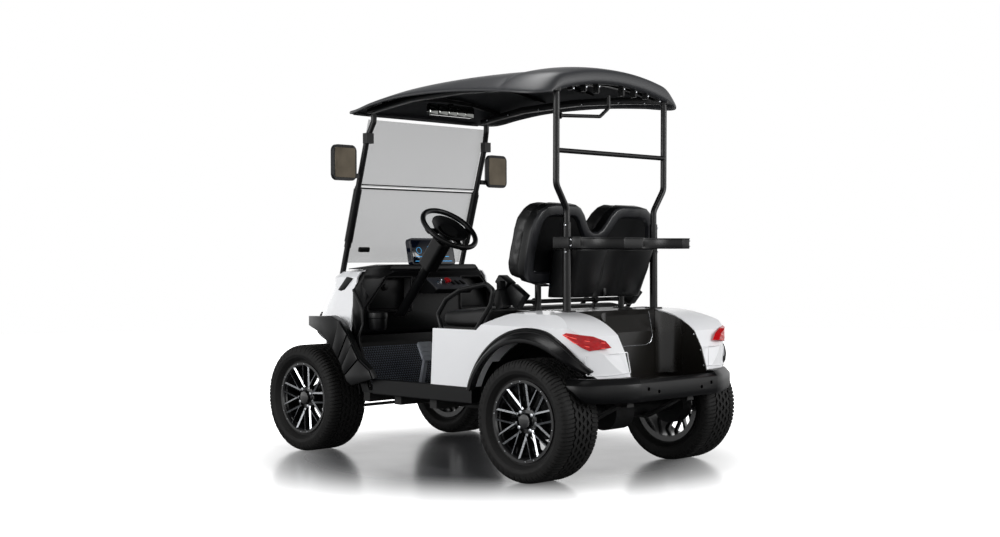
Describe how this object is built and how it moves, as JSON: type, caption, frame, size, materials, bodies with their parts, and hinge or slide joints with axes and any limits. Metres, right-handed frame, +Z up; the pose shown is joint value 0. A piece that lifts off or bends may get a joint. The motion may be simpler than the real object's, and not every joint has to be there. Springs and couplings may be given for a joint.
{
  "type": "golf cart",
  "caption": "Lifted electric golf cart with bench seat, canopy roof, folding screen panes, bag well and basket; wheels roll, front wheels steer, seat lifts.",
  "frame": {"origin": "on the ground under the middle of the overall length, on the centre line", "axes": "+X forward, +Y to the driver's left, +Z up"},
  "size_m": [2.48, 1.344, 2.012],
  "materials": {
    "white_body": "gloss",
    "charcoal_roof": "satin",
    "black_plastic": "textured",
    "gloss_black": "gloss",
    "black_tube": "satin",
    "chassis_black": "satin",
    "axle_iron": "rough",
    "spring_steel": "satin",
    "wheel_alloy": "gloss black with machined edges",
    "tyre_rubber": "rubber",
    "tinted_screen": "clear",
    "mirror_glass": "mirror",
    "lamp_red": "gloss",
    "lamp_clear": "clear",
    "screen_glass": "gloss",
    "seat_vinyl": "satin",
    "seat_board": "matte",
    "battery_case": "satin"
  },
  "bodies": {
    "chassis": {"rear_axle_and_motor": "axle_iron", "leaf_springs": "spring_steel", "shock_absorbers": "spring_steel", "front_axle": "chassis_black", "floor_pan": "black_plastic", "sills": "black_plastic", "front_cowl": "white_body", "front_flares": "black_plastic", "front_bumper": "black_plastic", "headlights": "lamp_clear", "dashboard": "black_plastic", "switch_panel": "black_plastic", "display_screen": "screen_glass", "steering_column": "black_plastic", "pedals": "black_plastic", "seat_pod": "black_plastic", "battery_pack": "battery_case", "seat_back_cushions": "seat_vinyl", "seat_back_shell": "black_plastic", "seat_back_stand": "black_tube", "seat_belts": "black_plastic", "armrests": "black_plastic", "rear_body_left": "white_body", "rear_body_right": "white_body", "tail_lights": "lamp_red", "rear_flares": "black_plastic", "bag_well": "gloss_black", "sweater_basket": "black_plastic", "bag_holder": "gloss_black", "rear_bumper": "black_plastic", "roof": "charcoal_roof", "rear_struts": "black_tube", "roof_handle": "black_tube", "front_struts": "black_tube", "windshield_lower": "tinted_screen", "windshield_upper": "tinted_screen", "side_mirrors": "black_plastic", "interior_mirror": "mirror_glass", "chassis_rails": "chassis_black", "chassis_crossmembers": "chassis_black", "cup_holders": "black_plastic"},
    "wheel_rear_left": {"tyre_rear_left": "tyre_rubber", "rim_rear_left": "wheel_alloy"},
    "wheel_rear_right": {"tyre_rear_right": "tyre_rubber", "rim_rear_right": "wheel_alloy"},
    "wheel_front_left": {"tyre_front_left": "tyre_rubber", "rim_front_left": "wheel_alloy"},
    "wheel_front_right": {"tyre_front_right": "tyre_rubber", "rim_front_right": "wheel_alloy"},
    "knuckle_left": {"knuckle_left": "axle_iron"},
    "knuckle_right": {"knuckle_right": "axle_iron"},
    "tie_rod": {"tie_rod": "spring_steel"},
    "steering_wheel": {"steering_wheel": "black_plastic"},
    "seat": {"seat_cushion": "seat_vinyl", "seat_base": "seat_board"}
  },
  "joints": [
    {"name": "spin_rear_left", "type": "hinge", "parent": "chassis", "child": "wheel_rear_left", "pos_m": [-0.806, 0.545, 0.292], "axis": [0, 1, 0], "continuous": true},
    {"name": "spin_rear_right", "type": "hinge", "parent": "chassis", "child": "wheel_rear_right", "pos_m": [-0.806, -0.545, 0.292], "axis": [0, 1, 0], "continuous": true},
    {"name": "steer_left", "type": "hinge", "parent": "chassis", "child": "knuckle_left", "pos_m": [0.862, 0.43, 0.292], "axis": [0, 0, 1], "range_deg": [-28, 28]},
    {"name": "steer_right", "type": "hinge", "parent": "chassis", "child": "knuckle_right", "pos_m": [0.862, -0.43, 0.292], "axis": [0, 0, 1], "range_deg": [-28, 28]},
    {"name": "spin_front_left", "type": "hinge", "parent": "knuckle_left", "child": "wheel_front_left", "pos_m": [0.862, 0.545, 0.292], "axis": [0, 1, 0], "continuous": true},
    {"name": "spin_front_right", "type": "hinge", "parent": "knuckle_right", "child": "wheel_front_right", "pos_m": [0.862, -0.545, 0.292], "axis": [0, 1, 0], "continuous": true},
    {"name": "tie_rod_swing", "type": "hinge", "parent": "knuckle_left", "child": "tie_rod", "pos_m": [0.742, 0.43, 0.235], "axis": [0, 0, 1], "range_deg": [-28, 28]},
    {"name": "steering_turn", "type": "hinge", "parent": "chassis", "child": "steering_wheel", "pos_m": [0.058, 0.29, 1.212], "axis": [-0.6455, 0, 0.7638], "range_deg": [-336, 336]},
    {"name": "seat_lift", "type": "hinge", "parent": "chassis", "child": "seat", "pos_m": [-0.505, 0, 0.838], "axis": [0, -1, 0], "range_deg": [0, 65]}
  ],
  "couplings": [
    {"joint": "steer_right", "follows": "steer_left", "ratio": 1},
    {"joint": "tie_rod_swing", "follows": "steer_left", "ratio": -1},
    {"joint": "steering_turn", "follows": "steer_left", "ratio": 12}
  ]
}
